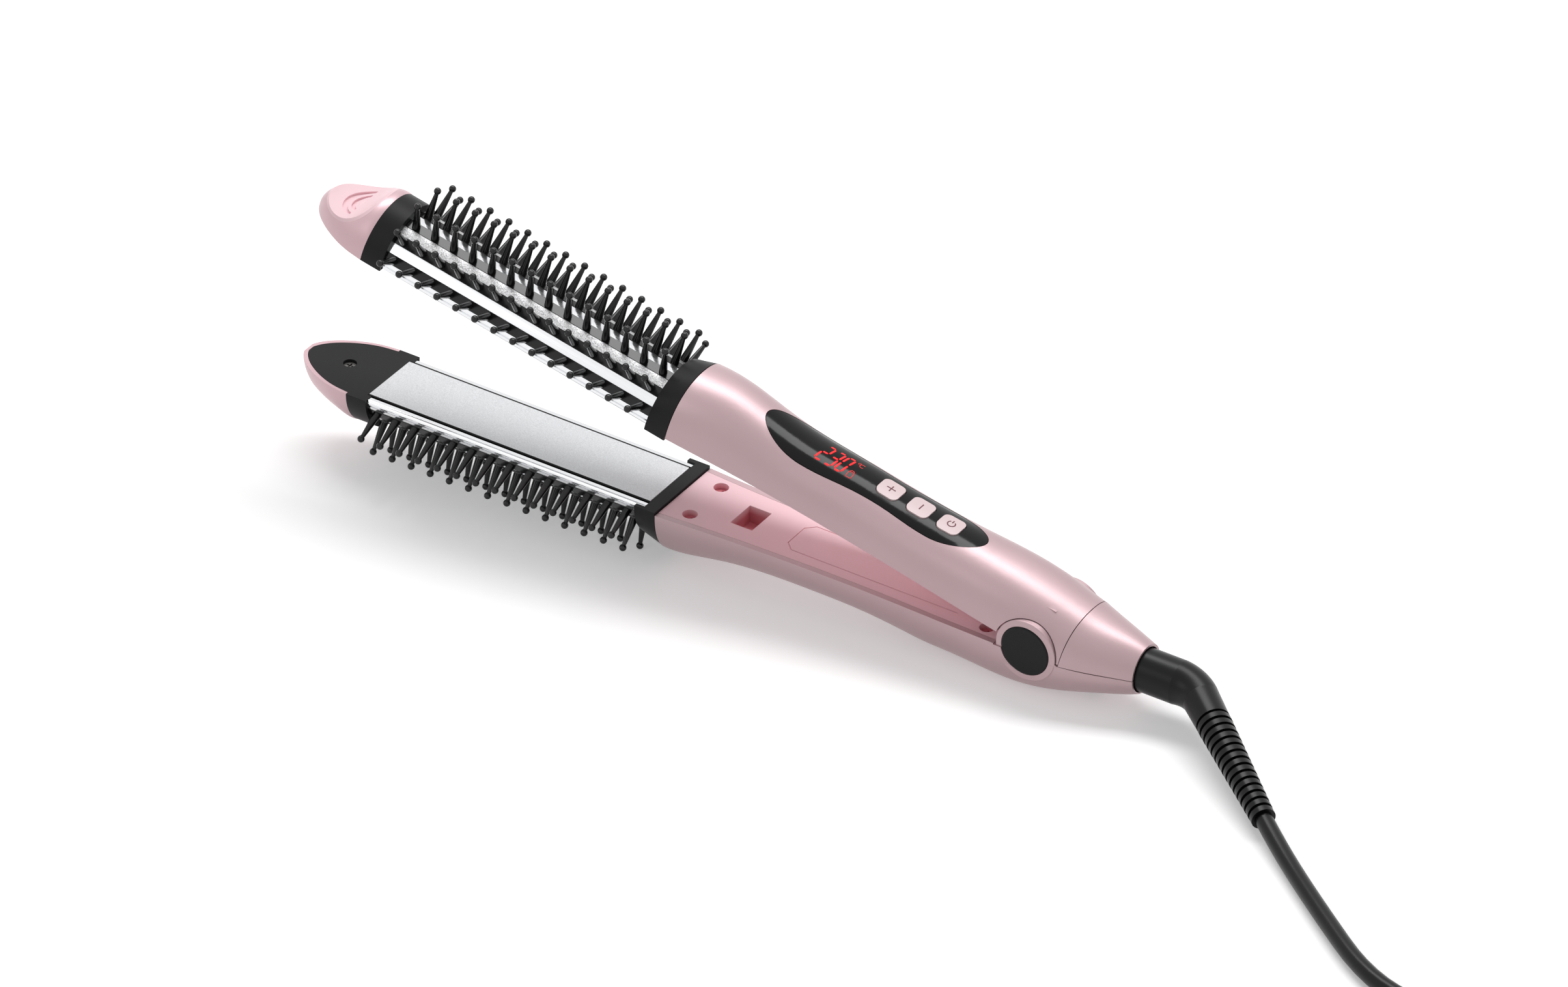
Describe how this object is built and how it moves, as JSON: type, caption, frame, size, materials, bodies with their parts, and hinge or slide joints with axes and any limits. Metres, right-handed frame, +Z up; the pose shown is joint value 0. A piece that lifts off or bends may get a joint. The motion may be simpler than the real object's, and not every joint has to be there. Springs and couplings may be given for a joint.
{
  "type": "hair multistyler",
  "caption": "Two-arm hair styler with flat plates inside, pegged comb barrels outside, a control panel on the upper handle and a swivelling mains cord.",
  "frame": {"origin": "middle of the two arms' footprint, on the surface they lie on, the cord left out", "axes": "+Z up, +X from the tips to the cord end along the closed lower arm, Y along the hinge pin"},
  "size_m": [0.6157, 0.2032, 0.1073],
  "materials": {
    "pink_shell": "pearl metallic satin paint",
    "pale_pink": "plain moulded satin",
    "charcoal": "satin",
    "barrel_metal": "polished with blasted bands",
    "plate_coating": "fine-grained ceramic coating",
    "black_peg": "gloss",
    "heater_ceramic": "matt",
    "carrier": "matt",
    "steel": "plain",
    "lens_black": "high gloss",
    "tray": "matt",
    "board_green": "lacquered board",
    "button_pink": "pale satin",
    "black_rubber": "satin",
    "pin_brass": "nickel plated"
  },
  "bodies": {
    "lower_arm": {"lower_tip_cap": "pink_shell", "lower_nose_insert": "charcoal", "lower_nose_screw": "steel", "lower_barrel": "barrel_metal", "lower_plate": "plate_coating", "lower_comb_1": "black_peg", "lower_comb_2": "black_peg", "lower_comb_3": "black_peg", "lower_comb_4": "black_peg", "lower_comb_5": "black_peg", "lower_comb_6": "black_peg", "lower_rear_collar": "charcoal", "lower_heater": "heater_ceramic", "lower_heater_carrier": "carrier", "lower_inner_cover": "pale_pink", "lower_cover_screws": "steel", "lower_handle_shell": "pink_shell", "tail_cover": "pink_shell", "hinge_pin": "steel", "hinge_caps": "charcoal", "hinge_spring": "steel", "swivel_ring": "tray", "tail_screw": "steel"},
    "upper_arm": {"upper_tip_cap": "pink_shell", "upper_nose_insert": "charcoal", "upper_nose_screw": "steel", "upper_barrel": "barrel_metal", "upper_plate": "plate_coating", "upper_comb_1": "black_peg", "upper_comb_2": "black_peg", "upper_comb_3": "black_peg", "upper_comb_4": "black_peg", "upper_comb_5": "black_peg", "upper_comb_6": "black_peg", "upper_rear_collar": "charcoal", "upper_heater": "heater_ceramic", "upper_heater_carrier": "carrier", "upper_inner_cover": "pale_pink", "upper_cover_screws": "steel", "upper_handle_shell": "pink_shell", "control_lens": "lens_black", "control_frame": "tray", "control_board": "board_green", "display_module": "tray", "tact_switches": "tray"},
    "plus_key": {"plus_button": "button_pink"},
    "minus_key": {"minus_button": "button_pink"},
    "power_key": {"power_button": "button_pink"},
    "swivel_cord": {"strain_relief_boot": "black_rubber", "cord": "black_rubber", "cord_coil": "black_rubber", "coil_tie": "black_rubber", "cord_tail": "black_rubber", "plug": "black_rubber", "plug_pins": "pin_brass"}
  },
  "joints": [
    {"name": "arm_hinge", "type": "hinge", "parent": "lower_arm", "child": "upper_arm", "pos_m": [0.1278, 0, 0.01895], "axis": [0, 1, 0], "range_deg": [-11.9, 0], "stiffness_Nm_per_rad": 1, "springref_deg": 34.38},
    {"name": "plus_press", "type": "slide", "parent": "upper_arm", "child": "plus_key", "axis": [-0.248, 0, -0.9688], "range_m": [0, 0.0005], "stiffness_N_per_m": 2500},
    {"name": "minus_press", "type": "slide", "parent": "upper_arm", "child": "minus_key", "axis": [-0.248, 0, -0.9688], "range_m": [0, 0.0005], "stiffness_N_per_m": 2500},
    {"name": "power_press", "type": "slide", "parent": "upper_arm", "child": "power_key", "axis": [-0.248, 0, -0.9688], "range_m": [0, 0.0005], "stiffness_N_per_m": 2500},
    {"name": "cord_swivel", "type": "hinge", "parent": "lower_arm", "child": "swivel_cord", "pos_m": [0.1582, 0, 0.01584], "axis": [0.9991, 0, -0.0429], "continuous": true}
  ]
}
